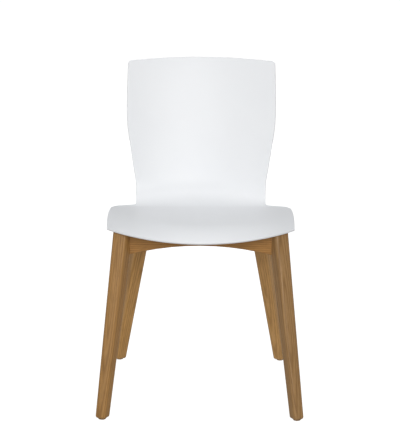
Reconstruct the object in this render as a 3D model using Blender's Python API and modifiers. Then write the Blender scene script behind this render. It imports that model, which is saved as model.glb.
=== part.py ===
"""Dining chair: a one-piece plastic seat shell on a solid oak frame.

The chair stands on the floor at z = 0 and faces -Y; X runs to the sitter's right-hand side as seen
from the front. The origin is the middle of its footprint. Four tapered, splayed oak legs carry four
dowelled rails. A corner block is screwed into each corner of the frame, and one machine screw through
each block holds the shell, by a brass insert in a boss moulded under the seat.
"""

import math

import bmesh
import bpy
from mathutils import Matrix, Vector

# ---------------------------------------------------------------- driving dimensions, in metres
CLEARANCE = 0.0003              # gap between two pieces that touch

# Seat shell, along its middle from the front edge to the top of the back.
OVERALL_HEIGHT = 0.820
SHELL_THICKNESS = 0.005
SEAT_FRONT_Y = -0.250
BEND_START_Y = 0.080            # where the seat starts to turn up into the back
BEND_START_Z = 0.4535
BEND_RADIUS = 0.085
SEAT_PITCH = math.radians(2.2)  # the seat falls towards the back
BACK_ANGLE_LOW = math.radians(77.0)
BACK_ANGLE_TOP = math.radians(73.0)
BACK_HOLLOW_RADIUS = 0.50       # the back is hollow across its width
BACK_CROWN = 0.019              # the cut of the top edge, from its middle down to its corners

# Seat shell, outline.
SEAT_HALF_WIDTH = 0.2305
SEAT_WIDEST_Y = 0.015
SEAT_SIDE_BULGE = 0.0088        # narrowing of the half width over SEAT_SIDE_REACH
SEAT_SIDE_REACH = 0.187
FRONT_BOW = 0.090               # how far the front edge runs back at BOW_HALF_WIDTH
BOW_HALF_WIDTH = 0.200
BOW_REACH = 0.270               # the bow has died out this far behind the front edge
FRONT_CORNER_RADIUS = 0.010
REAR_CORNER_RADIUS = 0.022
SHELF_Y = 0.092                 # rear edge of the seat beside the back
SHELF_SLOPE = math.radians(9.0)
NOTCH_RADIUS = 0.009
WAIST_HALF_WIDTH = 0.166
HIP_HALF_WIDTH = 0.1920
HIP_Z = 0.705
HIP_SLOPE = -0.024              # change of half width with height above the hip
TAPER_HALF_WIDTH = 0.1855
TAPER_Z = 0.614
TAPER_SLOPE = 0.162
HIP_ROUNDING = 0.007
WAIST_ROUNDING = 0.002
TOP_CORNER_RADIUS = 0.008

# Seat shell, how its surface rolls down to the front and the sides.
FRONT_DROP_MIDDLE = 0.0305
FRONT_DROP_CORNER = 0.0175
FRONT_ROLL_MIDDLE = 0.080
FRONT_ROLL_CORNER = 0.140
SIDE_DROP = 0.0005

# Seat shell, mesh density.
SHELL_COLUMNS = 16
CORNER_STEPS = 3
SEAT_STEPS = 7
BACK_STEPS = 9

# Legs: squares turned about the vertical, with rounded edges.
FOOT_SIDE = 0.0281
LEG_SIDE_GROWTH = 0.0237        # growth of the side per metre of height
LEG_TURN = math.radians(30.0)
LEG_EDGE_RADIUS = 0.008
FOOT_EDGE_RADIUS = 0.003
GLIDE_THICKNESS = 0.003
GLIDE_RADIUS = 0.0095

FRONT_FOOT = Vector((0.2333, -0.2325, 0.0))
FRONT_LEG_TOP = Vector((0.1858, -0.1365, 0.4385))
REAR_FOOT = Vector((0.2180, 0.2325, 0.0))
REAR_LEG_TOP = Vector((0.1424, 0.0880, 0.440))

# Rails and corner blocks.
RAIL_THICKNESS = 0.022
RAIL_TOP_Z = 0.438
RAIL_AXIS_Z = 0.412             # height at which the rails' lines meet the legs' axes
RAIL_SETBACK = 0.005            # how far inside the legs' axes the rails' lines lie
RAIL_END_INSET = 0.0135         # a rail stops this far short of the legs' axes
FRONT_RAIL_LOW_Z = 0.3795       # lower edge on the line of the legs' axes
SIDE_RAIL_LOW_Z = 0.390
REAR_RAIL_LOW_Z = 0.388
FRONT_ARCH_RISE = 0.027
REAR_ARCH_RISE = 0.012
RAIL_EDGE_RADIUS = 0.0015
ARCH_STEPS = 10
BLOCK_TOP_Z = 0.438
BLOCK_HEIGHT = 0.030
BLOCK_NEAR = 0.030              # clipped corner, along each rail from the inside corner
BLOCK_FAR = 0.075
BLOCK_EDGE_RADIUS = 0.001

# Dowels, screws and inserts.
DOWEL_RADIUS = 0.004
DOWEL_LENGTH = 0.036
DOWEL_IN_LEG = 0.014            # from the leg's inner face line into the leg
END_RAIL_DOWEL_Z = (0.3985, 0.4185)
SIDE_RAIL_DOWEL_Z = (0.4085, 0.4285)
BLOCK_SCREW_ALONG = 0.050       # from the inside corner, along the rail
BLOCK_SCREW_Z = 0.4165
BLOCK_SCREW_HEAD_DEPTH = 0.016  # underside of the head, from the rail's inner face
BLOCK_SCREW_RADIUS = 0.002
BLOCK_SCREW_HEAD_RADIUS = 0.004
BLOCK_SCREW_HEAD_HEIGHT = 0.0025
BLOCK_SCREW_IN_RAIL = 0.0145
SHELL_SCREW_ALONG = 0.0285      # from the inside corner, along both rails
SHELL_SCREW_RADIUS = 0.003
SHELL_SCREW_HEAD_RADIUS = 0.006
SHELL_SCREW_HEAD_HEIGHT = 0.0035
WASHER_RADIUS = 0.008
WASHER_THICKNESS = 0.0015
INSERT_RADIUS = 0.0045
INSERT_LENGTH = 0.009
BOSS_RADIUS = 0.011
BOSS_OVERLAP = 0.002            # how far a boss runs into the shell
NAIL_RADIUS = 0.0012
NAIL_HEAD_RADIUS = 0.003
NAIL_HEAD_HEIGHT = 0.001
NAIL_LENGTH = 0.018
ROUND_SIDES = 12
GLIDE_SIDES = 20
NAIL_SIDES = 8

# Finishes: base colour, roughness, metallic.
WHITE_PLASTIC = ("white_plastic", (0.86, 0.87, 0.88), 0.42, 0.0)
OAK = ("oak", (0.34, 0.20, 0.09), 0.45, 0.0)
BEECH = ("beech", (0.62, 0.42, 0.24), 0.60, 0.0)
STEEL = ("zinc_plated_steel", (0.62, 0.63, 0.65), 0.30, 1.0)
BRASS = ("brass", (0.72, 0.52, 0.22), 0.32, 1.0)
NYLON = ("grey_nylon", (0.30, 0.29, 0.27), 0.55, 0.0)

PARTS = "dining_chair"
CUTTERS = "dining_chair_cutters"


# ---------------------------------------------------------------- scene helpers
def clear_scene():
    """Remove every object, so that only the chair is left."""
    for obj in list(bpy.data.objects):
        bpy.data.objects.remove(obj, do_unlink=True)


def collection_named(name):
    """Give the collection of this name, made and linked on first use."""
    collection = bpy.data.collections.get(name)
    if collection is None:
        collection = bpy.data.collections.new(name)
        bpy.context.scene.collection.children.link(collection)
    return collection


def material_for(finish):
    """Give the Principled BSDF material of a finish, made on first use."""
    name, colour, roughness, metallic = finish
    material = bpy.data.materials.get(name)
    if material is None:
        material = bpy.data.materials.new(name)
        material.use_nodes = True
        shader = material.node_tree.nodes["Principled BSDF"]
        shader.inputs["Base Color"].default_value = (*colour, 1.0)
        shader.inputs["Roughness"].default_value = roughness
        shader.inputs["Metallic"].default_value = metallic
    return material


def adopt(obj, name, finish):
    """Name a finished piece, give it its material and hang it on the chair's empty."""
    obj.name = name
    obj.data.name = name
    obj.data.materials.clear()
    obj.data.materials.append(material_for(finish))
    move_to(obj, PARTS)
    obj.parent = bpy.data.objects["chair_origin"]
    return obj


def adopt_cutter(obj, name):
    """Hide a piece that only cuts others."""
    obj.name = name
    move_to(obj, CUTTERS)
    obj.hide_render = True
    obj.display_type = "WIRE"
    return obj


def move_to(obj, collection_name):
    """Put an object in one collection only."""
    for collection in list(obj.users_collection):
        collection.objects.unlink(obj)
    collection_named(collection_name).objects.link(obj)


def object_from(bm, name):
    """Turn a bmesh into an object."""
    mesh = bpy.data.meshes.new(name)
    bm.to_mesh(mesh)
    bm.free()
    obj = bpy.data.objects.new(name, mesh)
    bpy.context.scene.collection.objects.link(obj)
    return obj


def cut(target, cutter, operation="DIFFERENCE"):
    """Add an exact Boolean to a piece."""
    modifier = target.modifiers.new(cutter.name, "BOOLEAN")
    modifier.operation = operation
    modifier.solver = "EXACT"
    modifier.object = cutter


def smooth(obj, limit_degrees=35.0):
    """Shade a round piece smooth, with its true edges left sharp."""
    obj.data.shade_smooth()
    obj.data.set_sharp_from_angle(angle=math.radians(limit_degrees))


# ---------------------------------------------------------------- shape helpers
def cylinder(start, end, radius, sides=ROUND_SIDES):
    """Make a closed cylinder between two points."""
    axis = end - start
    turn = axis.to_track_quat("Z", "Y").to_euler()
    bpy.ops.mesh.primitive_cylinder_add(vertices=sides, radius=radius, depth=axis.length,
                                        location=(start + end) / 2.0, rotation=turn)
    return bpy.context.object


def hole_cutter(name, start, end, radius):
    """Make a drill of this radius plus the clearance, a little longer than the piece it takes."""
    reach = (end - start).normalized() * CLEARANCE
    drill = cylinder(start - reach, end + reach, radius + CLEARANCE)
    return adopt_cutter(drill, name)


def turned(profile, steps=ROUND_SIDES):
    """Turn a profile of (radius, height) points, outer side first from the top, about Z."""
    bm = bmesh.new()
    points = [bm.verts.new((radius, 0.0, height)) for radius, height in profile]
    for first, second in zip(points, points[1:]):
        bm.edges.new((first, second))
    if profile[0][0] > 0.0:
        bm.edges.new((points[-1], points[0]))
    obj = object_from(bm, "turned")
    screw = obj.modifiers.new("turn", "SCREW")
    screw.steps = steps
    screw.render_steps = steps
    screw.use_merge_vertices = True
    screw.merge_threshold = 0.00001
    screw.use_smooth_shade = False
    return obj


def aim(obj, place, direction):
    """Put a turned piece at a place with its own +Z along a direction."""
    obj.location = place
    obj.rotation_euler = direction.to_track_quat("Z", "Y").to_euler()


def board(outline, thickness, edge_radius):
    """Extrude a flat outline, given in X and Y, to a board lying about z = 0, with eased edges."""
    curve = bpy.data.curves.new("board", "CURVE")
    curve.dimensions = "2D"
    curve.fill_mode = "BOTH"
    curve.extrude = thickness / 2.0
    spline = curve.splines.new("POLY")
    spline.points.add(len(outline) - 1)
    for point, (x, y) in zip(spline.points, outline):
        point.co = (x, y, 0.0, 1.0)
    spline.use_cyclic_u = True
    source = bpy.data.objects.new("board", curve)
    bpy.context.scene.collection.objects.link(source)
    evaluated = source.evaluated_get(bpy.context.evaluated_depsgraph_get())
    bm = bmesh.new()
    bm.from_mesh(bpy.data.meshes.new_from_object(evaluated))
    bpy.data.objects.remove(source)
    bmesh.ops.remove_doubles(bm, verts=bm.verts, dist=0.00001)
    bmesh.ops.dissolve_limit(bm, angle_limit=math.radians(0.1), verts=bm.verts, edges=bm.edges)
    obj = object_from(bm, "board")
    ease = obj.modifiers.new("eased_edges", "BEVEL")
    ease.width = edge_radius
    ease.segments = 1
    ease.limit_method = "ANGLE"
    ease.angle_limit = math.radians(40.0)
    return obj


# ---------------------------------------------------------------- seat shell: its surface
def seat_length():
    """Length of the seat along its middle, up to the bend."""
    return (BEND_START_Y - SEAT_FRONT_Y) / math.cos(SEAT_PITCH)


def bend_length():
    """Length of the bend between the seat and the back."""
    return BEND_RADIUS * (BACK_ANGLE_LOW + SEAT_PITCH)


def bend_point(angle):
    """Place on the bend where the middle line climbs at this angle."""
    y = BEND_START_Y + BEND_RADIUS * (math.sin(angle) + math.sin(SEAT_PITCH))
    z = BEND_START_Z + BEND_RADIUS * (math.cos(SEAT_PITCH) - math.cos(angle))
    return y, z


def back_radius():
    """Radius of the slightly bowed back, which ends at the overall height."""
    low_z = bend_point(BACK_ANGLE_LOW)[1]
    return (OVERALL_HEIGHT - low_z) / (math.cos(BACK_ANGLE_TOP) - math.cos(BACK_ANGLE_LOW))


def shell_length():
    """Length of the whole shell along its middle."""
    return seat_length() + bend_length() + back_radius() * (BACK_ANGLE_LOW - BACK_ANGLE_TOP)


def middle_line(s):
    """Place and climbing angle of the shell's middle at s along it from the front edge."""
    if s <= seat_length():
        y = SEAT_FRONT_Y + s * math.cos(SEAT_PITCH)
        z = BEND_START_Z + (BEND_START_Y - y) * math.tan(SEAT_PITCH)
        return y, z, -SEAT_PITCH
    if s <= seat_length() + bend_length():
        angle = (s - seat_length()) / BEND_RADIUS - SEAT_PITCH
        y, z = bend_point(angle)
        return y, z, angle
    radius = back_radius()
    angle = BACK_ANGLE_LOW - (s - seat_length() - bend_length()) / radius
    y, z = bend_point(BACK_ANGLE_LOW)
    y += radius * (math.sin(BACK_ANGLE_LOW) - math.sin(angle))
    z += radius * (math.cos(angle) - math.cos(BACK_ANGLE_LOW))
    return y, z, angle


def ease_in_out(value):
    """Run smoothly from 0 to 1 as the value does."""
    value = min(max(value, 0.0), 1.0)
    return value * value * (3.0 - 2.0 * value)


def front_edge_y(x):
    """Place of the bowed front edge at x."""
    return SEAT_FRONT_Y + FRONT_BOW * (x / BOW_HALF_WIDTH) ** 2


def front_drop(x, y):
    """How far the seat has rolled down towards the front edge at a place."""
    across = abs(x) / BOW_HALF_WIDTH
    drop = FRONT_DROP_MIDDLE + (FRONT_DROP_CORNER - FRONT_DROP_MIDDLE) * across ** 2
    roll = FRONT_ROLL_MIDDLE + (FRONT_ROLL_CORNER - FRONT_ROLL_MIDDLE) * across ** 3
    inside = (y - front_edge_y(x)) / roll
    return drop * max(0.0, 1.0 - inside) ** 2


def shell_point(x, s):
    """Place on the shell's upper side, at x across it and s along it."""
    y, z, angle = middle_line(s)
    turned_up = ease_in_out((s - seat_length()) / bend_length())
    hollow = turned_up * x * x / (2.0 * BACK_HOLLOW_RADIUS)
    side_drop = (1.0 - turned_up) * SIDE_DROP * (x / SEAT_HALF_WIDTH) ** 4
    z -= side_drop + front_drop(x, y) * (1.0 - turned_up)
    return Vector((x, y - hollow * math.sin(angle), z + hollow * math.cos(angle)))


# ---------------------------------------------------------------- seat shell: its outline
def seat_half_width(y):
    """Half the seat's width at a place between the front and rear corners."""
    return SEAT_HALF_WIDTH - SEAT_SIDE_BULGE * ((y - SEAT_WIDEST_Y) / SEAT_SIDE_REACH) ** 2


def blended(first, second, rounding):
    """The larger of two values, rounded where they cross; a negative rounding gives the smaller."""
    half_gap = math.copysign(math.hypot(first - second, rounding) / 2.0, rounding)
    return (first + second) / 2.0 + half_gap


def back_half_width(z):
    """Half the back's width at a height."""
    hip = HIP_HALF_WIDTH + HIP_SLOPE * (z - HIP_Z)
    taper = TAPER_HALF_WIDTH + TAPER_SLOPE * (z - TAPER_Z)
    return blended(blended(hip, taper, -HIP_ROUNDING), WAIST_HALF_WIDTH, WAIST_ROUNDING)


def bow_left(t):
    """Share of the front edge's bow that a row t behind the edge still has."""
    return max(0.0, 1.0 - t / BOW_REACH) ** 2


def row_end_y(t):
    """Y of the side end of a seat row."""
    bow = front_edge_y(SEAT_HALF_WIDTH) - SEAT_FRONT_Y
    return SEAT_FRONT_Y + t + bow * bow_left(t)


def quarter(steps):
    """Angles of a quarter turn, both ends included."""
    return [math.radians(90.0) * step / steps for step in range(steps + 1)]


def outline_rows():
    """Rows across the shell, front to top: how far along it each lies, and its half width."""
    rows = []
    for angle in quarter(CORNER_STEPS):
        t = FRONT_CORNER_RADIUS * (1.0 - math.cos(angle))
        inset = FRONT_CORNER_RADIUS * (1.0 - math.sin(angle))
        rows.append((t, seat_half_width(row_end_y(t)) - inset))

    corner_y = SHELF_Y - REAR_CORNER_RADIUS
    corner_s = (corner_y - SEAT_FRONT_Y) / math.cos(SEAT_PITCH)
    corner_x = seat_half_width(corner_y) - REAR_CORNER_RADIUS
    for step in range(1, SEAT_STEPS):
        t = FRONT_CORNER_RADIUS + (corner_s - FRONT_CORNER_RADIUS) * step / SEAT_STEPS
        rows.append((t, seat_half_width(row_end_y(t))))

    turn = math.radians(90.0) - SHELF_SLOPE
    for step in range(2 * CORNER_STEPS + 1):
        angle = turn * step / (2 * CORNER_STEPS)
        rows.append((corner_s + REAR_CORNER_RADIUS * math.sin(angle),
                     corner_x + REAR_CORNER_RADIUS * math.cos(angle)))

    shelf_s, shelf_x = rows[-1]
    notch_x = WAIST_HALF_WIDTH + NOTCH_RADIUS
    notch_start_x = notch_x - NOTCH_RADIUS * math.sin(SHELF_SLOPE)
    notch_s = shelf_s + (shelf_x - notch_start_x) * math.tan(SHELF_SLOPE)
    notch_s += NOTCH_RADIUS * math.cos(SHELF_SLOPE)
    for step in range(CORNER_STEPS + 1):
        angle = SHELF_SLOPE + turn * step / CORNER_STEPS
        rows.append((notch_s - NOTCH_RADIUS * math.cos(angle),
                     notch_x - NOTCH_RADIUS * math.sin(angle)))

    top_s = shell_length()
    for step in range(1, BACK_STEPS):
        s = notch_s + (top_s - TOP_CORNER_RADIUS - notch_s) * step / BACK_STEPS
        rows.append((s, back_half_width(middle_line(s)[1])))
    for angle in reversed(quarter(CORNER_STEPS)):
        s = top_s - TOP_CORNER_RADIUS * (1.0 - math.cos(angle))
        inset = TOP_CORNER_RADIUS * (1.0 - math.sin(angle))
        rows.append((s, back_half_width(middle_line(s)[1]) - inset))
    return rows


def along_shell(x, row_s):
    """How far along the shell a row's point at x lies, with the bow and the crown put in."""
    bow = (front_edge_y(x) - SEAT_FRONT_Y) * bow_left(row_s)
    up_back = (row_s - seat_length() - bend_length()) / (shell_length() - seat_length() - bend_length())
    crown = BACK_CROWN * (x / HIP_HALF_WIDTH) ** 2 * max(0.0, up_back)
    return row_s + bow - crown


def seat_shell(bosses):
    """The moulded shell: one sheet with a boss under the seat at each shell screw."""
    rows = outline_rows()
    bm = bmesh.new()
    bmesh.ops.create_grid(bm, x_segments=SHELL_COLUMNS, y_segments=len(rows) - 1, size=1.0)
    for vert in bm.verts:
        row_s, half_width = rows[round((vert.co.y + 1.0) / 2.0 * (len(rows) - 1))]
        x = vert.co.x * half_width
        vert.co = shell_point(x, along_shell(x, row_s))
    shell = object_from(bm, "shell_sheet")
    thicken = shell.modifiers.new("thickness", "SOLIDIFY")
    thicken.thickness = SHELL_THICKNESS
    thicken.offset = -1.0
    adopt(shell, "seat_shell", WHITE_PLASTIC)
    for index, foot in enumerate(bosses):
        under = shell_point(foot.x, foot.y - SEAT_FRONT_Y).z - SHELL_THICKNESS
        top = Vector((foot.x, foot.y, under + BOSS_OVERLAP))
        boss = cylinder(foot, top, BOSS_RADIUS)
        cut(shell, adopt_cutter(boss, f"boss_{index}"), "UNION")
        insert_top = foot + Vector((0.0, 0.0, INSERT_LENGTH))
        drill_start = foot - Vector((0.0, 0.0, INSERT_LENGTH))
        cut(shell, hole_cutter(f"boss_hole_{index}", drill_start, insert_top, INSERT_RADIUS))
    smooth(shell)
    return shell


# ---------------------------------------------------------------- legs
def leg_place(foot, top, z):
    """Place on a leg's axis at a height."""
    return foot + (top - foot) * (z / top.z)


def leg_solid(foot, top, side, depth, grow=0.0):
    """A leg: a cube made into a tapered, sheared and turned post with rounded long edges."""
    turn = Matrix.Rotation(side * depth * LEG_TURN, 3, "Z")
    low = GLIDE_THICKNESS + CLEARANCE
    bm = bmesh.new()
    bmesh.ops.create_cube(bm, size=1.0)
    for vert in bm.verts:
        z = low if vert.co.z < 0.0 else top.z + grow
        width = FOOT_SIDE + LEG_SIDE_GROWTH * z + 2.0 * grow
        corner = turn @ Vector((vert.co.x * width, vert.co.y * width, 0.0))
        vert.co = leg_place(foot, top, z) + corner
    bm.normal_update()
    long_edges = [e for e in bm.edges if abs(e.verts[0].co.z - e.verts[1].co.z) > top.z / 2.0]
    bmesh.ops.bevel(bm, geom=long_edges, offset=LEG_EDGE_RADIUS + grow, segments=3, profile=0.5,
                    affect="EDGES", clamp_overlap=True)
    foot_edges = [e for e in bm.edges if max(v.co.z for v in e.verts) < low + CLEARANCE]
    bmesh.ops.bevel(bm, geom=foot_edges, offset=FOOT_EDGE_RADIUS, segments=2, profile=0.5,
                    affect="EDGES", clamp_overlap=True)
    bmesh.ops.recalc_face_normals(bm, faces=bm.faces)
    return object_from(bm, "leg_solid")


# ---------------------------------------------------------------- rails, blocks and fasteners
def on_side(point, side):
    """The same place on the other side of the chair when side is -1."""
    return Vector((point.x * side, point.y, point.z))


def rail_between(name, start, end, low_z, arch_rise):
    """A rail standing on edge between two leg axes, its lower edge arched between the legs."""
    run = end - start
    half = run.length / 2.0
    reach = half - RAIL_END_INSET
    outline = [(reach, RAIL_TOP_Z - low_z), (-reach, RAIL_TOP_Z - low_z)]
    steps = ARCH_STEPS if arch_rise else 1
    for step in range(steps + 1):
        x = reach * (2.0 * step / steps - 1.0)
        outline.append((x, arch_rise * (1.0 - (x / half) ** 2)))
    rail = board(outline, RAIL_THICKNESS, RAIL_EDGE_RADIUS)
    heading = math.atan2(run.y, run.x)
    rail.matrix_world = (Matrix.Translation(((start.x + end.x) / 2.0, (start.y + end.y) / 2.0, low_z))
                         @ Matrix.Rotation(heading, 4, "Z")
                         @ Matrix.Rotation(math.radians(90.0), 4, "X"))
    return adopt(rail, name, OAK)


def dowels(name, rail, leg, axis, inward, heights):
    """Two dowels that join a rail's end to a leg, with their holes cut in both."""
    for index, z in enumerate(heights):
        level = Vector((axis.x, axis.y, z))
        leg_face = (FOOT_SIDE + LEG_SIDE_GROWTH * z) / 2.0
        start = level + inward * (leg_face - DOWEL_IN_LEG)
        end = start + inward * DOWEL_LENGTH
        dowel = adopt(cylinder(start, end, DOWEL_RADIUS), f"{name}_{index + 1}", BEECH)
        smooth(dowel)
        drill = hole_cutter(f"{name}_hole_{index + 1}", start, end, DOWEL_RADIUS)
        cut(rail, drill)
        cut(leg, drill)


def inside_corner(axis, first_way, second_way):
    """Where the inner faces of two rails that leave a leg's axis meet, in plan."""
    first_inner = second_way - first_way * second_way.dot(first_way)
    second_inner = first_way - second_way * first_way.dot(second_way)
    first_inner.normalize()
    second_inner.normalize()
    reach = RAIL_THICKNESS / 2.0 + CLEARANCE
    start = axis + first_inner * reach
    gap = (reach - (start - axis).dot(second_inner)) / first_way.dot(second_inner)
    return start + first_way * gap, first_inner, second_inner


def corner_block(name, corner, first_way, second_way):
    """A block with a clipped corner that lies against both rails."""
    outline = [corner + first_way * BLOCK_NEAR, corner + first_way * BLOCK_FAR,
               corner + second_way * BLOCK_FAR, corner + second_way * BLOCK_NEAR]
    if first_way.cross(second_way).z < 0.0:
        outline.reverse()
    block = board([(point.x, point.y) for point in outline], BLOCK_HEIGHT, BLOCK_EDGE_RADIUS)
    block.location = (0.0, 0.0, BLOCK_TOP_Z - BLOCK_HEIGHT / 2.0)
    return adopt(block, name, OAK)


def block_screw(name, corner, way, inner, block, rail):
    """A wood screw that holds a block to a rail, with its holes."""
    face = corner + way * BLOCK_SCREW_ALONG
    face = Vector((face.x, face.y, BLOCK_SCREW_Z))
    seat = face + inner * BLOCK_SCREW_HEAD_DEPTH
    length = BLOCK_SCREW_HEAD_DEPTH + BLOCK_SCREW_IN_RAIL
    head = BLOCK_SCREW_HEAD_HEIGHT
    screw = turned([(0.0, head), (BLOCK_SCREW_HEAD_RADIUS, head), (BLOCK_SCREW_HEAD_RADIUS, head / 3.0),
                    (BLOCK_SCREW_RADIUS, 0.0), (BLOCK_SCREW_RADIUS, BLOCK_SCREW_RADIUS - length),
                    (0.0, -length)])
    aim(screw, seat, inner)
    adopt(screw, name, STEEL)
    shank = hole_cutter(f"{name}_hole", seat - inner * length, seat, BLOCK_SCREW_RADIUS)
    recess = hole_cutter(f"{name}_recess", seat, seat + inner * BLOCK_FAR, BLOCK_SCREW_HEAD_RADIUS)
    cut(rail, shank)
    cut(block, shank)
    cut(block, recess)


def shell_fixing(corner_name, place, block):
    """The machine screw, washer and threaded insert of one corner."""
    block_low = BLOCK_TOP_Z - BLOCK_HEIGHT
    boss_foot = BLOCK_TOP_Z + CLEARANCE
    bore = SHELL_SCREW_RADIUS + CLEARANCE

    insert = turned([(INSERT_RADIUS, INSERT_LENGTH), (INSERT_RADIUS, CLEARANCE),
                     (bore, CLEARANCE), (bore, INSERT_LENGTH)])
    insert.location = (place.x, place.y, boss_foot)
    adopt(insert, f"threaded_insert_{corner_name}", BRASS)

    washer = turned([(WASHER_RADIUS, WASHER_THICKNESS), (WASHER_RADIUS, 0.0),
                     (bore, 0.0), (bore, WASHER_THICKNESS)])
    washer_low = block_low - CLEARANCE - WASHER_THICKNESS
    washer.location = (place.x, place.y, washer_low)
    adopt(washer, f"washer_{corner_name}", STEEL)

    head_top = washer_low - CLEARANCE
    tip = boss_foot + INSERT_LENGTH - CLEARANCE - head_top
    screw = turned([(0.0, tip), (SHELL_SCREW_RADIUS, tip), (SHELL_SCREW_RADIUS, 0.0),
                    (SHELL_SCREW_HEAD_RADIUS, 0.0),
                    (SHELL_SCREW_HEAD_RADIUS, -SHELL_SCREW_HEAD_HEIGHT / 2.0),
                    (SHELL_SCREW_HEAD_RADIUS * 0.6, -SHELL_SCREW_HEAD_HEIGHT),
                    (0.0, -SHELL_SCREW_HEAD_HEIGHT)])
    screw.location = (place.x, place.y, head_top)
    adopt(screw, f"shell_screw_{corner_name}", STEEL)

    low = Vector((place.x, place.y, block_low - CLEARANCE))
    high = Vector((place.x, place.y, BLOCK_TOP_Z + CLEARANCE))
    cut(block, hole_cutter(f"shell_screw_hole_{corner_name}", low, high, SHELL_SCREW_RADIUS))


def glide(corner_name, foot, leg):
    """The nylon glide under a leg and the nail that holds it."""
    axis = Vector((foot.x, foot.y, 0.0))
    bore = NAIL_RADIUS + CLEARANCE
    recess = NAIL_HEAD_RADIUS + CLEARANCE
    recess_top = NAIL_HEAD_HEIGHT + 2.0 * CLEARANCE
    disc = turned([(GLIDE_RADIUS, GLIDE_THICKNESS), (GLIDE_RADIUS, GLIDE_THICKNESS / 3.0),
                   (GLIDE_RADIUS - GLIDE_THICKNESS / 3.0, 0.0), (recess, 0.0), (recess, recess_top),
                   (bore, recess_top), (bore, GLIDE_THICKNESS)], steps=GLIDE_SIDES)
    disc.location = axis
    adopt(disc, f"glide_{corner_name}", NYLON)

    head_low = CLEARANCE
    head_top = head_low + NAIL_HEAD_HEIGHT
    tip = head_low + NAIL_LENGTH
    nail = turned([(0.0, tip), (NAIL_RADIUS, tip - 2.0 * NAIL_RADIUS), (NAIL_RADIUS, head_top),
                   (NAIL_HEAD_RADIUS, head_top), (NAIL_HEAD_RADIUS, head_low), (0.0, head_low)],
                  steps=NAIL_SIDES)
    nail.location = axis
    adopt(nail, f"glide_nail_{corner_name}", STEEL)
    drill_top = axis + Vector((0.0, 0.0, tip))
    cut(leg, hole_cutter(f"nail_hole_{corner_name}", axis, drill_top, NAIL_RADIUS))


# ---------------------------------------------------------------- the chair
def build_frame():
    """Legs, rails, corner blocks and their fasteners; gives the feet of the shell's bosses."""
    legs = {}
    axes = {}
    copes = {}
    for end, foot, top, depth in (("front", FRONT_FOOT, FRONT_LEG_TOP, 1),
                                  ("rear", REAR_FOOT, REAR_LEG_TOP, -1)):
        for hand, side in (("left", -1), ("right", 1)):
            key = f"{end}_{hand}"
            here_foot = on_side(foot, side)
            here_top = on_side(top, side)
            legs[key] = adopt(leg_solid(here_foot, here_top, side, depth), f"leg_{key}", OAK)
            cope = leg_solid(here_foot, here_top, side, depth, grow=CLEARANCE)
            copes[key] = adopt_cutter(cope, f"cope_{key}")
            axes[key] = leg_place(here_foot, here_top, RAIL_AXIS_Z) + Vector((0.0, depth * RAIL_SETBACK, 0.0))
            glide(key, here_foot, legs[key])

    rails = {}
    for name, first, second, low_z, rise, heights in (
            ("front", "front_left", "front_right", FRONT_RAIL_LOW_Z, FRONT_ARCH_RISE, END_RAIL_DOWEL_Z),
            ("rear", "rear_left", "rear_right", REAR_RAIL_LOW_Z, REAR_ARCH_RISE, END_RAIL_DOWEL_Z),
            ("left", "front_left", "rear_left", SIDE_RAIL_LOW_Z, 0.0, SIDE_RAIL_DOWEL_Z),
            ("right", "front_right", "rear_right", SIDE_RAIL_LOW_Z, 0.0, SIDE_RAIL_DOWEL_Z)):
        rail = rail_between(f"rail_{name}", axes[first], axes[second], low_z, rise)
        rails[name] = rail
        for here, there in ((first, second), (second, first)):
            cut(rail, copes[here])
            inward = (axes[there] - axes[here]).normalized()
            dowels(f"dowel_{name}_at_{here}", rail, legs[here], axes[here], inward, heights)

    boss_feet = []
    for end, other_end in (("front", "rear"), ("rear", "front")):
        for hand, other_hand in (("left", "right"), ("right", "left")):
            key = f"{end}_{hand}"
            end_way = (axes[f"{end}_{other_hand}"] - axes[key]).normalized()
            side_way = (axes[f"{other_end}_{hand}"] - axes[key]).normalized()
            corner, end_inner, side_inner = inside_corner(axes[key], end_way, side_way)
            block = corner_block(f"corner_block_{key}", corner, end_way, side_way)
            block_screw(f"block_screw_{key}_end", corner, end_way, end_inner, block, rails[end])
            block_screw(f"block_screw_{key}_side", corner, side_way, side_inner, block, rails[hand])
            place = corner + (end_way + side_way) * SHELL_SCREW_ALONG
            shell_fixing(key, place, block)
            boss_feet.append(Vector((place.x, place.y, BLOCK_TOP_Z + CLEARANCE)))
    for leg in legs.values():
        smooth(leg)
    return boss_feet


def main():
    """Build the chair."""
    clear_scene()
    collection_named(PARTS)
    collection_named(CUTTERS)
    origin = bpy.data.objects.new("chair_origin", None)
    collection_named(PARTS).objects.link(origin)
    seat_shell(build_frame())


main()
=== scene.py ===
"""Looks for the dining chair: fine shell and legs, oak, plastic and hardware finishes, stage and camera.

Every size is in metres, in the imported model's frame: z = 0 is the floor, the chair faces -Y. The shell and
the legs are rebuilt here as fine meshes on the dimensions of the CAD model, and stand for its nodes. Every
other piece is the CAD model's own, with a finish put on it.
"""

import math

import bmesh
import bpy
from mathutils import Matrix, Vector


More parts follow.
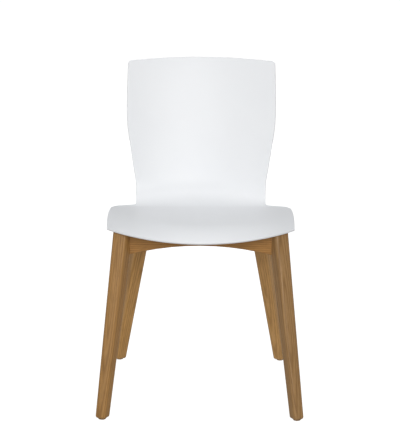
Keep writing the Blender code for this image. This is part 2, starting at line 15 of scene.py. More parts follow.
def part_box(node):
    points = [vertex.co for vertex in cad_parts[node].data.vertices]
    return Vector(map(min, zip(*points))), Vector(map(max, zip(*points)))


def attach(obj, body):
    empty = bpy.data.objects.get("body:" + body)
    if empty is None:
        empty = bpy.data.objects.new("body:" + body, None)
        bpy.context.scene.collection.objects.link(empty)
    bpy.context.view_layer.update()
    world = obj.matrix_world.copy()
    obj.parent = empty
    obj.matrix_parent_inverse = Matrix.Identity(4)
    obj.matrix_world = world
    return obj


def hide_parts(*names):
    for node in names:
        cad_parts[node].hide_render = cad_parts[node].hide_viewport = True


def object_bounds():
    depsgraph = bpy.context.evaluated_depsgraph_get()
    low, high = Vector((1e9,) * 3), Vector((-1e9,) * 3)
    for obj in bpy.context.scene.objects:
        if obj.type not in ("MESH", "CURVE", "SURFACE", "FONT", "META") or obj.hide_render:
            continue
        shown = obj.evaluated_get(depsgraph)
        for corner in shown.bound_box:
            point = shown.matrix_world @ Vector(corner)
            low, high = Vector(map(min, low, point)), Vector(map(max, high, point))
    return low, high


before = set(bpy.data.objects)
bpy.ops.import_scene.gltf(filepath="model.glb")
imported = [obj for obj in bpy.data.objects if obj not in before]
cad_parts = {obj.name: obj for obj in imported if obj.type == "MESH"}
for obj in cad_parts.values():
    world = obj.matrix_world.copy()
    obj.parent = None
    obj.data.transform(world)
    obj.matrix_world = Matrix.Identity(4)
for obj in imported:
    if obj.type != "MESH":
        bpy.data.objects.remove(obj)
CAD_BOX = [list(corner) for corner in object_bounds()]

# ---------------------------------------------------------------- dimensions repeated from the CAD model
OVERALL_HEIGHT = CAD_BOX[1][2]
SHELL_THICKNESS = 0.005
SEAT_FRONT_Y = -0.250
BEND_START_Y = 0.080
BEND_START_Z = 0.4535
BEND_RADIUS = 0.085
SEAT_PITCH = math.radians(2.2)
BACK_ANGLE_LOW = math.radians(77.0)
BACK_ANGLE_TOP = math.radians(73.0)
BACK_HOLLOW_RADIUS = 0.50
BACK_CROWN = 0.019

SEAT_HALF_WIDTH = 0.2305
SEAT_WIDEST_Y = 0.015
SEAT_SIDE_BULGE = 0.0088
SEAT_SIDE_REACH = 0.187
FRONT_BOW = 0.090
BOW_HALF_WIDTH = 0.200
BOW_REACH = 0.270
FRONT_CORNER_RADIUS = 0.010
REAR_CORNER_RADIUS = 0.022
SHELF_Y = 0.092
SHELF_SLOPE = math.radians(9.0)
SHELF_TURN = math.radians(90.0) - SHELF_SLOPE    # the outline's turn at a rear corner and at a notch
NOTCH_RADIUS = 0.009
WAIST_HALF_WIDTH = 0.166
HIP_HALF_WIDTH = 0.1920
HIP_Z = 0.705
HIP_SLOPE = -0.024
TAPER_HALF_WIDTH = 0.1855
TAPER_Z = 0.614
TAPER_SLOPE = 0.162
HIP_ROUNDING = 0.007
WAIST_ROUNDING = 0.002
TOP_CORNER_RADIUS = 0.008

FRONT_DROP_MIDDLE = 0.0305
FRONT_DROP_CORNER = 0.0175
FRONT_ROLL_MIDDLE = 0.080
FRONT_ROLL_CORNER = 0.140
SIDE_DROP = 0.0005

BOSS_RADIUS = 0.011
BOSS_OVERLAP = 0.001
BOSS_FILLET = 0.003
BOSS_EDGE = 0.0006
CLEARANCE = 0.0003

FOOT_SIDE = 0.0281
LEG_SIDE_GROWTH = 0.0237           # what a leg's side gains for each metre of height
LEG_TURN = math.radians(30.0)
LEG_EDGE_RADIUS = 0.008
FOOT_EDGE_RADIUS = 0.005
TOP_EDGE_RADIUS = 0.001
FOOT_Z = 0.0033                    # the wood starts just above the glide
FRONT_FOOT = Vector((0.2333, -0.2325, 0.0))
FRONT_LEG_TOP = Vector((0.1858, -0.1365, 0.4385))
REAR_FOOT = Vector((0.2180, 0.2325, 0.0))
REAR_LEG_TOP = Vector((0.1424, 0.0880, 0.440))

# ---------------------------------------------------------------- stage
FLOOR_RADIUS = 9.0
SWEEP_RADIUS = 4.0
WALL_HEIGHT = 14.0
SWEEP_STEPS = 8
SWEEP_SIDES = 64
FLOOR_GREY = 0.28
FLOOR_GLOW = 0.94

LIGHT_AIM = Vector((0.0, 0.0, 0.45))
LIGHT_DISTANCE = 4.0
SURROUND_LOW = (1.0, 0.98, 0.95)
SURROUND_HIGH = (0.97, 0.985, 1.0)
SURROUND_CHANGED = 0.25            # sine of the elevation at which the upper colour is reached
SURROUND_STRENGTH = 0.42

CAMERA_PLACE = Vector((-0.0018, -3.4, 1.1767))
CAMERA_PITCH = math.radians(77.597)    # 90 degrees would be level
CAMERA_ROLL = math.radians(0.36)
CAMERA_LENS = 112.45
CAMERA_SENSOR = 36.0

# ---------------------------------------------------------------- finishes
OAK_DARK = (0.310, 0.158, 0.047)
OAK_MIDDLE = (0.378, 0.196, 0.058)
OAK_LIGHT = (0.425, 0.228, 0.076)
PITH_DISTANCE = 0.024
SHIFT_REACH = (0.009, 0.005, 0.2)  # most that a piece's place in the tree is shifted: across, deep, along
GRAIN_STRETCH = 0.10               # how much a length along the grain counts, which draws out the rings
PORE_STRETCH = 0.04                # the same for pores and streaks
GRAIN_LEAN = math.radians(2.6)     # angle between the pith and the piece, which draws the arches
# Factors of red, green and blue on the three colours above. Each leg's factors are painted light and shade,
# which lift the rear legs out of the seat's shadow and set each front leg lighter or darker for how the
# light falls on it.
LEG_PAINTED_LIGHT = {
    "leg_front_left": (1.04, 1.04, 1.02),
    "leg_front_right": (0.93, 1.00, 1.24),
    "leg_rear_left": (1.48, 1.54, 1.60),
    "leg_rear_right": (1.58, 1.68, 1.90),
}
# The rails' own tone, the same on every rail.
RAIL_TONE = (1.12, 1.06, 0.98)

PLASTIC_SHADE = (0.800, 0.812, 0.830)
PLASTIC_WHITE = (0.815, 0.826, 0.842)
BEECH_DARK = (0.48, 0.31, 0.17)
BEECH_LIGHT = (0.60, 0.41, 0.24)
ZINC_DARK = (0.52, 0.53, 0.55)
ZINC_LIGHT = (0.66, 0.67, 0.69)
BRASS_DARK = (0.62, 0.44, 0.18)
BRASS_LIGHT = (0.76, 0.57, 0.27)
NYLON_DARK = (0.26, 0.145, 0.055)
NYLON_LIGHT = (0.31, 0.175, 0.070)

# ---------------------------------------------------------------- fineness of the new meshes
BEND_EASING = 0.018                # half the length over which the shell's bends are averaged
EASING_STEPS = 3
NORMAL_STEP = 0.0005
RIM_SQUARENESS = 0.5               # 1 makes the rim half-round, 0 square
SHARP_ANGLE = math.radians(50.0)
MERGE_DISTANCE = 0.0001
SHELL_COLUMNS = 84
CORNER_STEPS = 10
SEAT_STEPS = 40
SHELF_STEPS = 6
BACK_STEPS = 64
RIM_STEPS = 12
SECTION_STEPS = 8
LEG_STEPS = 24
EDGE_STEPS = 6
BOSS_SIDES = 40


# ---------------------------------------------------------------- shell surface
def seat_length():
    """Length of the seat along its middle, up to the bend."""
    return (BEND_START_Y - SEAT_FRONT_Y) / math.cos(SEAT_PITCH)


def bend_length():
    """Length of the bend between the seat and the back."""
    return BEND_RADIUS * (BACK_ANGLE_LOW + SEAT_PITCH)


def bend_point(angle):
    """Place on the bend where the middle line climbs at this angle."""
    y = BEND_START_Y + BEND_RADIUS * (math.sin(angle) + math.sin(SEAT_PITCH))
    z = BEND_START_Z + BEND_RADIUS * (math.cos(SEAT_PITCH) - math.cos(angle))
    return y, z


def back_radius():
    """Radius of the slightly bowed back, which ends at the overall height."""
    low_z = bend_point(BACK_ANGLE_LOW)[1]
    return (OVERALL_HEIGHT - low_z) / (math.cos(BACK_ANGLE_TOP) - math.cos(BACK_ANGLE_LOW))


def shell_length():
    """Length of the whole shell along its middle."""
    return seat_length() + bend_length() + back_radius() * (BACK_ANGLE_LOW - BACK_ANGLE_TOP)


def middle_line(s):
    """Place and climbing angle of the shell's middle at s along it from the front edge."""
    if s <= seat_length():
        y = SEAT_FRONT_Y + s * math.cos(SEAT_PITCH)
        z = BEND_START_Z + (BEND_START_Y - y) * math.tan(SEAT_PITCH)
        return y, z, -SEAT_PITCH
    if s <= seat_length() + bend_length():
        angle = (s - seat_length()) / BEND_RADIUS - SEAT_PITCH
        y, z = bend_point(angle)
        return y, z, angle
    radius = back_radius()
    angle = BACK_ANGLE_LOW - (s - seat_length() - bend_length()) / radius
    y, z = bend_point(BACK_ANGLE_LOW)
    y += radius * (math.sin(BACK_ANGLE_LOW) - math.sin(angle))
    z += radius * (math.cos(angle) - math.cos(BACK_ANGLE_LOW))
    return y, z, angle


def ease_in_out(value):
    """Run smoothly from 0 to 1 as the value does."""
    value = min(max(value, 0.0), 1.0)
    return value * value * (3.0 - 2.0 * value)


def front_edge_y(x):
    """Place of the bowed front edge at x."""
    return SEAT_FRONT_Y + FRONT_BOW * (x / BOW_HALF_WIDTH) ** 2


def front_drop(x, y):
    """How far the seat has rolled down towards the front edge at a place."""
    across = abs(x) / BOW_HALF_WIDTH
    drop = FRONT_DROP_MIDDLE + (FRONT_DROP_CORNER - FRONT_DROP_MIDDLE) * across ** 2
    roll = FRONT_ROLL_MIDDLE + (FRONT_ROLL_CORNER - FRONT_ROLL_MIDDLE) * across ** 3
    inside = (y - front_edge_y(x)) / roll
    return drop * max(0.0, 1.0 - inside) ** 2


def eased_middle(s):
    """The middle line averaged over a short stretch, so that its bends start softly."""
    steps = range(-EASING_STEPS, EASING_STEPS + 1)
    places = [middle_line(s + BEND_EASING * step / EASING_STEPS) for step in steps]
    return [sum(values) / len(places) for values in zip(*places)]


def shell_point(x, s):
    """Place on the shell's upper side, at x across it and s along it."""
    y, z, angle = eased_middle(s)
    turned_up = ease_in_out((s - seat_length()) / bend_length())
    hollow = turned_up * x * x / (2.0 * BACK_HOLLOW_RADIUS)
    side_drop = (1.0 - turned_up) * SIDE_DROP * (x / SEAT_HALF_WIDTH) ** 4
    z -= side_drop + front_drop(x, y) * (1.0 - turned_up)
    return Vector((x, y - hollow * math.sin(angle), z + hollow * math.cos(angle)))


def shell_normal(x, s):
    """Direction out of the shell's upper side."""
    across = shell_point(x + NORMAL_STEP, s) - shell_point(x - NORMAL_STEP, s)
    along = shell_point(x, s + NORMAL_STEP) - shell_point(x, s - NORMAL_STEP)
    return across.cross(along).normalized()


# ---------------------------------------------------------------- shell outline
def seat_half_width(y):
    """Half the seat's width at a place between the front and rear corners."""
    return SEAT_HALF_WIDTH - SEAT_SIDE_BULGE * ((y - SEAT_WIDEST_Y) / SEAT_SIDE_REACH) ** 2


def blended(first, second, rounding):
    """The larger of two values, rounded where they cross; a negative rounding gives the smaller."""
    half_gap = math.copysign(math.hypot(first - second, rounding) / 2.0, rounding)
    return (first + second) / 2.0 + half_gap


def back_half_width(z):
    """Half the back's width at a height."""
    hip = HIP_HALF_WIDTH + HIP_SLOPE * (z - HIP_Z)
    taper = TAPER_HALF_WIDTH + TAPER_SLOPE * (z - TAPER_Z)
    return blended(blended(hip, taper, -HIP_ROUNDING), WAIST_HALF_WIDTH, WAIST_ROUNDING)


def bow_left(t):
    """Share of the front edge's bow that a row t behind the edge still has."""
    return max(0.0, 1.0 - t / BOW_REACH) ** 2


def row_end_y(t):
    """Y of the side end of a seat row."""
    bow = front_edge_y(SEAT_HALF_WIDTH) - SEAT_FRONT_Y
    return SEAT_FRONT_Y + t + bow * bow_left(t)


def quarter(steps):
    """Angles of a quarter turn, both ends included."""
    return [math.radians(90.0) * step / steps for step in range(steps + 1)]


def front_corner_rows(inset):
    """Rows through the seat's front corners."""
    rows = []
    radius = FRONT_CORNER_RADIUS - inset
    for angle in quarter(CORNER_STEPS):
        t = inset + radius * (1.0 - math.cos(angle))
        rows.append((t, seat_half_width(row_end_y(t)) - inset - radius * (1.0 - math.sin(angle))))
    return rows


def rear_corner_centre():
    """Centre of a rear corner of the seat, along the shell and across it."""
    corner_y = SHELF_Y - REAR_CORNER_RADIUS
    return (corner_y - SEAT_FRONT_Y) / math.cos(SEAT_PITCH), seat_half_width(corner_y) - REAR_CORNER_RADIUS


def seat_rows(inset):
    """Rows along the seat's sides and round its rear corners."""
    rows = []
    corner_s, corner_x = rear_corner_centre()
    for step in range(1, SEAT_STEPS):
        t = FRONT_CORNER_RADIUS + (corner_s - FRONT_CORNER_RADIUS) * step / SEAT_STEPS
        rows.append((t, seat_half_width(row_end_y(t)) - inset))
    radius = REAR_CORNER_RADIUS - inset
    for step in range(2 * CORNER_STEPS + 1):
        angle = SHELF_TURN * step / (2 * CORNER_STEPS)
        rows.append((corner_s + radius * math.sin(angle), corner_x + radius * math.cos(angle)))
    return rows


def notch_centre():
    """Centre of a notch between seat and back, along the shell and across it."""
    corner_s, corner_x = rear_corner_centre()
    shelf_x = corner_x + REAR_CORNER_RADIUS * math.cos(SHELF_TURN)
    notch_x = WAIST_HALF_WIDTH + NOTCH_RADIUS
    run = shelf_x - notch_x + NOTCH_RADIUS * math.sin(SHELF_SLOPE)
    notch_s = corner_s + REAR_CORNER_RADIUS * math.sin(SHELF_TURN) + run * math.tan(SHELF_SLOPE)
    return notch_s + NOTCH_RADIUS * math.cos(SHELF_SLOPE), notch_x


def notch_rows(inset, start_s, start_x):
    """Rows from the end of the rear corners, along the sloping shelf and round the notches."""
    rows = []
    notch_s, notch_x = notch_centre()
    radius = NOTCH_RADIUS + inset
    end_s = notch_s - radius * math.cos(SHELF_SLOPE)
    end_x = notch_x - radius * math.sin(SHELF_SLOPE)
    for step in range(1, SHELF_STEPS):
        share = step / SHELF_STEPS
        rows.append((start_s + (end_s - start_s) * share, start_x + (end_x - start_x) * share))
    for step in range(CORNER_STEPS + 1):
        angle = SHELF_SLOPE + SHELF_TURN * step / CORNER_STEPS
        rows.append((notch_s - radius * math.cos(angle), notch_x - radius * math.sin(angle)))
    return rows


def back_rows(inset):
    """Rows up the back and through its top corners."""
    rows = []
    low_s = notch_centre()[0]
    top_s = shell_length()
    for step in range(1, BACK_STEPS):
        s = low_s + (top_s - TOP_CORNER_RADIUS - low_s) * step / BACK_STEPS
        rows.append((s, back_half_width(middle_line(s)[1]) - inset))
    radius = TOP_CORNER_RADIUS - inset
    for angle in reversed(quarter(CORNER_STEPS)):
        s = top_s - inset - radius * (1.0 - math.cos(angle))
        width = back_half_width(middle_line(s)[1]) - inset
        rows.append((s, width - radius * (1.0 - math.sin(angle))))
    return rows


def outline_rows(inset):
    """Rows across the shell, front to top, on the outline moved in by a distance."""
    rows = front_corner_rows(inset) + seat_rows(inset)
    rows += notch_rows(inset, *rows[-1])
    return rows + back_rows(inset)


def along_shell(x, row_s):
    """How far along the shell a row's point at x lies, with the bow and the crown put in."""
    bow = (front_edge_y(x) - SEAT_FRONT_Y) * bow_left(row_s)
    low_s = seat_length() + bend_length()
    up_back = max(0.0, (row_s - low_s) / (shell_length() - low_s))
    return row_s + bow - BACK_CROWN * (x / HIP_HALF_WIDTH) ** 2 * up_back


# ---------------------------------------------------------------- mesh helpers
def new_object(name, bm):
    """Turn a bmesh into a smooth-shaded object in the scene."""
    mesh = bpy.data.meshes.new(name)
    bm.to_mesh(mesh)
    bm.free()
    mesh.shade_smooth()
    obj = bpy.data.objects.new(name, mesh)
    bpy.context.scene.collection.objects.link(obj)
    return obj


def bridge(bm, first, second):
    """Close the band between two rings of vertices."""
    count = len(first)
    for here in range(count):
        after = (here + 1) % count
        bm.faces.new((first[here], first[after], second[after], second[here]))


def squared(value):
    """Push a sine or cosine towards its ends, which squares the circle it draws."""
    return math.copysign(abs(value) ** RIM_SQUARENESS, value)


def add_boss(bm, insert_name):
    """The collar moulded under the seat round a threaded insert, with a fillet where it meets the seat."""
    low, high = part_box(insert_name)
    x = (low[0] + high[0]) / 2.0
    y = (low[1] + high[1]) / 2.0
    bore = (high[0] - low[0]) / 2.0 + CLEARANCE
    top = shell_point(x, y - SEAT_FRONT_Y).z - SHELL_THICKNESS + BOSS_OVERLAP
    profile = [(bore, low[2]), (BOSS_RADIUS - BOSS_EDGE, low[2]), (BOSS_RADIUS, low[2] + BOSS_EDGE)]
    for angle in quarter(EDGE_STEPS):
        profile.append((BOSS_RADIUS + BOSS_FILLET * (1.0 - math.cos(angle)),
                        top - BOSS_FILLET * (1.0 - math.sin(angle))))
    profile.append((bore, top))
    rings = []
    turn = [math.radians(360.0) * step / BOSS_SIDES for step in range(BOSS_SIDES)]
    for radius, z in profile:
        rings.append([bm.verts.new((x + radius * math.cos(a), y + radius * math.sin(a), z)) for a in turn])
    for first, second in zip(rings, rings[1:] + rings[:1]):
        bridge(bm, first, second)


def around(grid):
    """The border of a grid of vertices, counter-clockwise seen from its upper side."""
    loop = list(grid[0])
    loop += [row[-1] for row in grid[1:]]
    loop += list(reversed(grid[-1][:-1]))
    loop += [row[0] for row in reversed(grid[1:-1])]
    return loop


def shell_sides(bm, rows):
    """Vertices of the shell's upper and lower side, with the middle and the normal beside each upper one."""
    upper = []
    lower = []
    middle = {}
    for row_s, half_width in rows:
        upper_row = []
        lower_row = []
        for column in range(SHELL_COLUMNS + 1):
            x = half_width * (2.0 * column / SHELL_COLUMNS - 1.0)
            s = along_shell(x, row_s)
            normal = shell_normal(x, s)
            point = shell_point(x, s)
            top = bm.verts.new(point)
            upper_row.append(top)
            lower_row.append(bm.verts.new(point - normal * SHELL_THICKNESS))
            middle[top] = (point - normal * SHELL_THICKNESS / 2.0, normal)
        upper.append(upper_row)
        lower.append(lower_row)
    return upper, lower, middle


def cover(bm, grid, facing_up):
    """Fill a grid of vertices with faces that look up or down."""
    for low_row, high_row in zip(grid, grid[1:]):
        for column in range(SHELL_COLUMNS):
            corners = [low_row[column], low_row[column + 1], high_row[column + 1], high_row[column]]
            if not facing_up:
                corners.reverse()
            bm.faces.new(corners)


def add_rim(bm, top_loop, low_loop, centres):
    """Join the borders of the two sides by a rim with soft edges."""
    rings = [top_loop]
    for step in range(1, RIM_STEPS):
        angle = math.pi * step / RIM_STEPS
        ring = []
        for here, (centre, normal) in enumerate(centres):
            ahead = centres[(here + 1) % len(centres)][0] - centres[here - 1][0]
            outward = ahead.cross(normal).normalized()
            offset = normal * squared(math.cos(angle)) + outward * squared(math.sin(angle))
            ring.append(bm.verts.new(centre + offset * SHELL_THICKNESS / 2.0))
        rings.append(ring)
    rings.append(low_loop)
    for first, second in zip(rings, rings[1:]):
        bridge(bm, second, first)


def make_shell():
    """The moulded shell: two offset surfaces joined by a soft-edged rim, and four bosses under the seat."""
    bm = bmesh.new()
    upper, lower, middle = shell_sides(bm, outline_rows(SHELL_THICKNESS / 2.0))
    cover(bm, upper, facing_up=True)
    cover(bm, lower, facing_up=False)
    top_loop = around(upper)
    add_rim(bm, top_loop, around(lower), [middle[vert] for vert in top_loop])
    for node_name in sorted(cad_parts):
        if node_name.startswith("threaded_insert"):
            add_boss(bm, node_name)
    bmesh.ops.recalc_face_normals(bm, faces=bm.faces)
    shell = new_object("seat_shell_fine", bm)
    shell.data.set_sharp_from_angle(angle=SHARP_ANGLE)
    return shell


def rounded_square(side, radius):
    """Points of a rounded square about the origin."""
    points = []
    reach = side / 2.0 - radius
    for corner in range(4):
        middle = math.radians(45.0 + 90.0 * corner)
        centre = Vector((math.copysign(reach, math.cos(middle)), math.copysign(reach, math.sin(middle))))
        for step in range(SECTION_STEPS + 1):
            angle = math.radians(90.0 * corner + 90.0 * step / SECTION_STEPS)
            points.append(centre + Vector((math.cos(angle), math.sin(angle))) * radius)
    return points


def leg_rings(top_z):
    """Heights of a leg's rings, each with how far its section is drawn in."""
    rings = []
    for angle in quarter(EDGE_STEPS):
        rings.append((FOOT_Z + FOOT_EDGE_RADIUS * (1.0 - math.sin(angle)),
                      FOOT_EDGE_RADIUS * (1.0 - math.cos(angle))))
    rings.reverse()
    low = FOOT_Z + FOOT_EDGE_RADIUS
    high = top_z - TOP_EDGE_RADIUS
    rings += [(low + (high - low) * step / LEG_STEPS, 0.0) for step in range(1, LEG_STEPS)]
    for angle in quarter(EDGE_STEPS):
        rings.append((high + TOP_EDGE_RADIUS * math.sin(angle), TOP_EDGE_RADIUS * (1.0 - math.cos(angle))))
    return rings


def leg_places():
    """Node name, foot, top and turning sense of each leg; the left legs mirror the right ones."""
    places = []
    for end, foot, top, depth in (("front", FRONT_FOOT, FRONT_LEG_TOP, 1),
                                  ("rear", REAR_FOOT, REAR_LEG_TOP, -1)):
        for hand, side in (("left", -1), ("right", 1)):
            mirror = Matrix.Diagonal((side, 1, 1))
            places.append((f"leg_{end}_{hand}", mirror @ foot, mirror @ top, side * depth))
    return places


def make_leg(name, foot, top, turn_sign):
    """A tapered, splayed leg. Its own Z axis runs along the wood, for the grain."""
    axis = (top - foot).normalized()
    across = (Vector((1.0, 0.0, 0.0)) - axis * axis.x).normalized()
    turned = Matrix((across, axis.cross(across), axis)).transposed()
    home = Matrix.Translation(foot) @ turned.to_4x4()
    back = home.inverted()
    turn = Matrix.Rotation(turn_sign * LEG_TURN, 2)
    bm = bmesh.new()
    rings = []
    for z, inset in leg_rings(top.z):
        centre = foot + (top - foot) * (z / top.z)
        side = FOOT_SIDE + LEG_SIDE_GROWTH * z - 2.0 * inset
        ring = []
        for point in rounded_square(side, LEG_EDGE_RADIUS - inset):
            flat = turn @ point
            ring.append(bm.verts.new(back @ (centre + Vector((flat.x, flat.y, 0.0)))))
        rings.append(ring)
    for first, second in zip(rings, rings[1:]):
        bridge(bm, first, second)
    bm.faces.new(list(reversed(rings[0])))
    bm.faces.new(rings[-1])
    leg = new_object(name, bm)
    leg.data.set_sharp_from_angle(angle=SHARP_ANGLE)
    leg.matrix_world = home
    return leg


# ---------------------------------------------------------------- materials
class Nodes:
    """Short calls for building one material's node tree."""

    def __init__(self, name):
        self.material = bpy.data.materials.new(name)
        self.material.use_nodes = True
        self.tree = self.material.node_tree
        self.shader = self.tree.nodes["Principled BSDF"]

    def add(self, kind, **settings):
        """Add a node, set its properties and its unlinked inputs."""
        node = self.tree.nodes.new(kind)
        for key, value in settings.items():
            if hasattr(node, key):
                setattr(node, key, value)
            else:
                node.inputs[key.replace("_", " ")].default_value = value
        return node

    def link(self, source, target):
        """Link an output to an input."""
        self.tree.links.new(source, target)

    def drive(self, source, input_name):
        """Link an output to one of the shader's inputs."""
        self.link(source, self.shader.inputs[input_name])

    def hold(self, input_name, value):
        """Set one of the shader's inputs to a fixed value."""
        self.shader.inputs[input_name].default_value = value

    def place(self):
        """The object's own coordinates."""
        return self.add("ShaderNodeTexCoord").outputs["Object"]

    def mapped(self, place, **settings):
        """Stretch, turn and move coordinates, in that order."""
        node = self.add("ShaderNodeMapping", **settings)
        self.link(place, node.inputs["Vector"])
        return node.outputs["Vector"]

    def noise(self, place, **settings):
        """Soft noise from 0 to 1."""
        node = self.add("ShaderNodeTexNoise", **settings)
        self.link(place, node.inputs["Vector"])
        return node.outputs["Fac"]

    def ramp(self, factor, stops):
        """Turn a factor into a colour along stops of (place, colour)."""
        node = self.add("ShaderNodeValToRGB")
        elements = node.color_ramp.elements
        while len(elements) < len(stops):
            elements.new(0.5)
        for element, (place, colour) in zip(elements, stops):
            element.position = place
            element.color = (*colour, 1.0)
        self.link(factor, node.inputs["Fac"])
        return node.outputs["Color"]

    def multiplied(self, colour, shade):
        """One colour multiplied by another."""
        node = self.add("ShaderNodeMix", data_type="RGBA", blend_type="MULTIPLY", Factor=1.0)
        inputs = {socket.identifier: socket for socket in node.inputs}
        outputs = {socket.identifier: socket for socket in node.outputs}
        self.link(colour, inputs["A_Color"])
        self.link(shade, inputs["B_Color"])
        return outputs["Result_Color"]

    def bump(self, height, strength, distance):
        """Bump the surface by a height."""
        node = self.add("ShaderNodeBump", Strength=strength, Distance=distance)
        self.link(height, node.inputs["Height"])
        self.drive(node.outputs["Normal"], "Normal")


def grey(value):
    """A neutral colour."""
    return (value, value, value)


def toned(colour, tone_and_painted_light):
    """A colour multiplied by a tone."""
    return tuple(part * share for part, share in zip(colour, tone_and_painted_light))


def plastic_material():
    """Satin white polypropylene with a very fine moulded grain."""
    nodes = Nodes("shell_white_plastic")
    place = nodes.place()
    grain = nodes.noise(place, Scale=900.0, Detail=3.0, Roughness=0.6)
    cloud = nodes.noise(place, Scale=7.0, Detail=2.0, Roughness=0.5)
    nodes.drive(nodes.ramp(cloud, [(0.3, PLASTIC_SHADE), (0.7, PLASTIC_WHITE)]), "Base Color")
    nodes.drive(nodes.ramp(grain, [(0.3, grey(0.38)), (0.7, grey(0.46))]), "Roughness")
    nodes.hold("IOR", 1.49)
    nodes.bump(grain, strength=0.05, distance=0.0002)
    return nodes.material


def cut_from_tree(seed):
    """Where in the tree a piece is cut, so that no two pieces show the same figure."""
    across, deep, along = SHIFT_REACH
    # The three multipliers share no rhythm, so the shifts don't come back together.
    return (across * math.sin(seed * 2.1), deep * math.cos(seed * 1.7), along * math.sin(seed * 3.3))


def ring_colour(nodes, grain_place, tone_and_painted_light):
    """Growth rings: cylinders about a pith that the cut crosses at a small angle, which draws arches."""
    lean = math.asin(math.tan(GRAIN_LEAN) / GRAIN_STRETCH)
    ring_place = nodes.mapped(grain_place, Scale=(1.0, 1.0, GRAIN_STRETCH), Rotation=(lean, 0.0, 0.0),
                              Location=(0.0, PITH_DISTANCE, 0.0))
    wave = nodes.add("ShaderNodeTexWave", wave_type="RINGS", rings_direction="Z", wave_profile="SIN",
                     Scale=62.0, Distortion=5.0, Detail=3.0, Detail_Scale=0.7, Detail_Roughness=0.6)
    nodes.link(ring_place, wave.inputs["Vector"])
    # For the legs these ring colours carry painted light and shade through their tone.
    return nodes.ramp(wave.outputs["Fac"], [(0.0, toned(OAK_DARK, tone_and_painted_light)), (0.30, toned(OAK_MIDDLE, tone_and_painted_light)),
                                            (1.0, toned(OAK_LIGHT, tone_and_painted_light))])


def oak_material(name, to_grain, seed, tone_and_painted_light):
    """Lacquered oak in a tone, which for the legs is painted light and shade. to_grain turns the piece's
    coordinates so that the grain runs along Z.
    """
    nodes = Nodes(name)
    grain_place = nodes.mapped(nodes.place(), Rotation=to_grain, Location=cut_from_tree(seed))
    streak_place = nodes.mapped(grain_place, Scale=(1.0, 1.0, PORE_STRETCH))
    pores = nodes.noise(streak_place, Scale=1100.0, Detail=2.0, Roughness=0.6)
    streaks = nodes.noise(streak_place, Scale=240.0, Detail=3.0, Roughness=0.6)
    drift = nodes.noise(grain_place, Scale=11.0, Detail=1.5)

    colour = ring_colour(nodes, grain_place, tone_and_painted_light)
    for shade in (nodes.ramp(pores, [(0.34, grey(0.74)), (0.48, grey(1.0))]),
                  nodes.ramp(streaks, [(0.30, grey(0.88)), (0.70, grey(1.0))]),
                  nodes.ramp(drift, [(0.3, (0.90, 0.89, 0.87)), (0.7, grey(1.0))])):
        colour = nodes.multiplied(colour, shade)
    nodes.drive(colour, "Base Color")
    nodes.drive(nodes.ramp(streaks, [(0.3, grey(0.40)), (0.7, grey(0.32))]), "Roughness")
    nodes.hold("Specular IOR Level", 0.34)
    nodes.bump(pores, strength=0.12, distance=0.0002)
    return nodes.material


def beech_material():
    """Plain turned beech, for the dowels."""
    nodes = Nodes("dowel_beech")
    fleck = nodes.noise(nodes.place(), Scale=350.0, Detail=3.0)
    nodes.drive(nodes.ramp(fleck, [(0.35, BEECH_DARK), (0.65, BEECH_LIGHT)]), "Base Color")
    nodes.hold("Roughness", 0.62)
    nodes.bump(fleck, strength=0.2, distance=0.0002)
    return nodes.material


def metal_material(name, dark, light, rough_low, rough_high):
    """Plated or turned metal with fine tool marks."""
    nodes = Nodes(name)
    marks = nodes.noise(nodes.place(), Scale=1500.0, Detail=2.0)
    nodes.drive(nodes.ramp(marks, [(0.35, dark), (0.65, light)]), "Base Color")
    nodes.drive(nodes.ramp(marks, [(0.3, grey(rough_low)), (0.7, grey(rough_high))]), "Roughness")
    nodes.hold("Metallic", 1.0)
    nodes.bump(marks, strength=0.1, distance=0.0001)
    return nodes.material


def nylon_material():
    """Matt moulded nylon in an oak brown, for the glides."""
    nodes = Nodes("glide_nylon")
    grain = nodes.noise(nodes.place(), Scale=1200.0, Detail=2.0)
    nodes.drive(nodes.ramp(grain, [(0.3, NYLON_DARK), (0.7, NYLON_LIGHT)]), "Base Color")
    nodes.hold("Roughness", 0.6)
    nodes.bump(grain, strength=0.1, distance=0.0002)
    return nodes.material


def dress(node_name, material):
    """Give a CAD node a finish."""
    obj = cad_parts[node_name]
    obj.data.materials.clear()
    obj.data.materials.append(material)


# ---------------------------------------------------------------- stage
def floor_bowl():
    """A round flat floor that sweeps up into a wall far from the chair."""
    profile = [(0.0, 0.0), (FLOOR_RADIUS, 0.0)]
    for angle in quarter(SWEEP_STEPS)[1:]:
        profile.append((FLOOR_RADIUS + SWEEP_RADIUS * math.sin(angle),
                        SWEEP_RADIUS * (1.0 - math.cos(angle))))
    profile.append((FLOOR_RADIUS + SWEEP_RADIUS, WALL_HEIGHT))
    bm = bmesh.new()
    verts = [bm.verts.new((radius, 0.0, z)) for radius, z in profile]
    edges = [bm.edges.new(pair) for pair in zip(verts, verts[1:])]
    bmesh.ops.spin(bm, geom=verts + edges, axis=(0.0, 0.0, 1.0), cent=(0.0, 0.0, 0.0),
                   angle=math.radians(360.0), steps=SWEEP_SIDES, use_merge=True)
    bmesh.ops.remove_doubles(bm, verts=bm.verts, dist=MERGE_DISTANCE)
    bmesh.ops.recalc_face_normals(bm, faces=bm.faces)
    return bm


def studio_floor():
    """An almost white sweep that glows as lit paper does."""
    floor = new_object("studio_floor", floor_bowl())
    nodes = Nodes("studio_white")
    nodes.hold("Base Color", (*grey(FLOOR_GREY), 1.0))
    nodes.hold("Roughness", 1.0)
    nodes.hold("Specular IOR Level", 0.0)
    nodes.hold("Emission Color", (*grey(1.0), 1.0))
    nodes.hold("Emission Strength", FLOOR_GLOW)
    floor.data.materials.append(nodes.material)
    # It is the backdrop only, and neither lights the chair nor shades it.
    floor.visible_diffuse = False
    floor.visible_glossy = False
    floor.visible_shadow = False


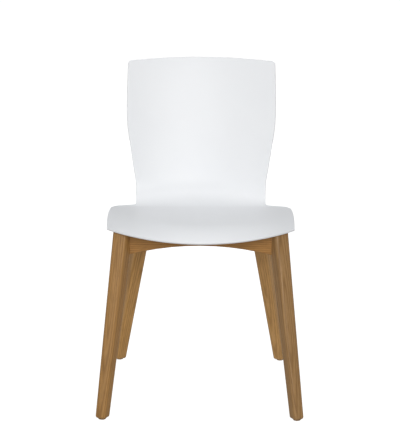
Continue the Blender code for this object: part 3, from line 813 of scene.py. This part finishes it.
def from_front(azimuth, elevation):
    """Direction from the chair to a light, azimuth to the viewer's right of straight in front."""
    azimuth = math.radians(azimuth)
    elevation = math.radians(elevation)
    flat = math.cos(elevation)
    return Vector((flat * math.sin(azimuth), -flat * math.cos(azimuth), math.sin(elevation)))


def softbox(name, direction, size, power):
    """A square soft light that looks at the chair's middle."""
    light = bpy.data.lights.new(name, "AREA")
    light.shape = "SQUARE"
    light.size = size
    light.energy = power
    obj = bpy.data.objects.new(name, light)
    bpy.context.scene.collection.objects.link(obj)
    aim = direction.normalized()
    obj.location = LIGHT_AIM + aim * LIGHT_DISTANCE
    obj.rotation_euler = aim.to_track_quat("Z", "Y").to_euler()
    return obj


def studio_light():
    """A big soft key in front and above, with weaker lights from overhead, the left and behind."""
    softbox("key", from_front(8.0, 22.0), size=1.8, power=71.0)
    softbox("top", from_front(0.0, 76.0), size=1.6, power=30.0)
    softbox("left_fill", from_front(-50.0, 10.0), size=1.4, power=16.0)
    back_fill = softbox("back_fill", from_front(180.0, 3.0), size=2.6, power=50.0)
    # Its reflection would show as bright patches on the seat's rear corners.
    back_fill.visible_glossy = False


def studio_surround():
    """An even white surround, slightly warm below and cool above."""
    world = bpy.data.worlds.new("studio")
    world.use_nodes = True
    tree = world.node_tree
    direction = tree.nodes.new("ShaderNodeTexCoord").outputs["Generated"]
    split = tree.nodes.new("ShaderNodeSeparateXYZ")
    ramp = tree.nodes.new("ShaderNodeValToRGB")
    low, high = ramp.color_ramp.elements
    low.color = (*SURROUND_LOW, 1.0)
    high.color = (*SURROUND_HIGH, 1.0)
    high.position = SURROUND_CHANGED
    background = tree.nodes["Background"]
    background.inputs["Strength"].default_value = SURROUND_STRENGTH
    tree.links.new(direction, split.inputs["Vector"])
    tree.links.new(split.outputs["Z"], ramp.inputs["Fac"])
    tree.links.new(ramp.outputs["Color"], background.inputs["Color"])
    bpy.context.scene.world = world
    bpy.context.scene.view_settings.view_transform = "Standard"


def studio_camera():
    """A long lens in front of the chair, above its seat, with a slight roll."""
    camera = bpy.data.cameras.new("camera")
    camera.lens = CAMERA_LENS
    camera.sensor_width = CAMERA_SENSOR
    obj = bpy.data.objects.new("camera", camera)
    bpy.context.scene.collection.objects.link(obj)
    obj.matrix_world = (Matrix.Translation(CAMERA_PLACE)
                        @ Matrix.Rotation(CAMERA_PITCH, 4, "X")
                        @ Matrix.Rotation(CAMERA_ROLL, 4, "Z"))
    bpy.context.scene.camera = obj


# ---------------------------------------------------------------- putting it together
def build_shell():
    """Put the fine shell in the CAD shell's stead."""
    shell = make_shell()
    shell.data.materials.append(plastic_material())
    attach(shell, "root")
    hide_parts("seat_shell")


def build_legs():
    """Put a fine leg in the stead of each CAD leg."""
    for seed, (node_name, foot, top, turn_sign) in enumerate(leg_places()):
        leg = make_leg(f"{node_name}_fine", foot, top, turn_sign)
        to_grain = (0.0, 0.0, -turn_sign * LEG_TURN)
        # The leg's oak carries painted light and shade in its tone, set for how the lamps fall on that leg.
        leg.data.materials.append(oak_material(f"oak_{node_name}", to_grain, seed, LEG_PAINTED_LIGHT[node_name]))
        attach(leg, "root")
        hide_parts(node_name)


def dress_frame():
    """Give every piece that is kept from the CAD model its finish."""
    beech = beech_material()
    steel = metal_material("zinc_steel", ZINC_DARK, ZINC_LIGHT, rough_low=0.24, rough_high=0.36)
    brass = metal_material("turned_brass", BRASS_DARK, BRASS_LIGHT, rough_low=0.26, rough_high=0.38)
    nylon = nylon_material()
    lying = math.radians(90.0)
    side_rail = FRONT_LEG_TOP - REAR_LEG_TOP
    heading = math.atan2(side_rail.x, -side_rail.y)
    grain_turns = {"rail_left": (lying, -heading, 0.0), "rail_right": (lying, heading, 0.0)}
    for seed, node_name in enumerate(sorted(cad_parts)):
        if node_name.startswith(("rail_", "corner_block")):
            to_grain = grain_turns.get(node_name, (0.0, -lying, 0.0))
            dress(node_name, oak_material(f"oak_{node_name}", to_grain, seed, RAIL_TONE))
        elif node_name.startswith("dowel_"):
            dress(node_name, beech)
        elif node_name.startswith("threaded_insert"):
            dress(node_name, brass)
        elif node_name.startswith(("glide_nail", "block_screw", "shell_screw", "washer")):
            dress(node_name, steel)
        elif node_name.startswith("glide_"):
            dress(node_name, nylon)


build_shell()
build_legs()
dress_frame()
studio_floor()
studio_light()
studio_surround()
studio_camera()
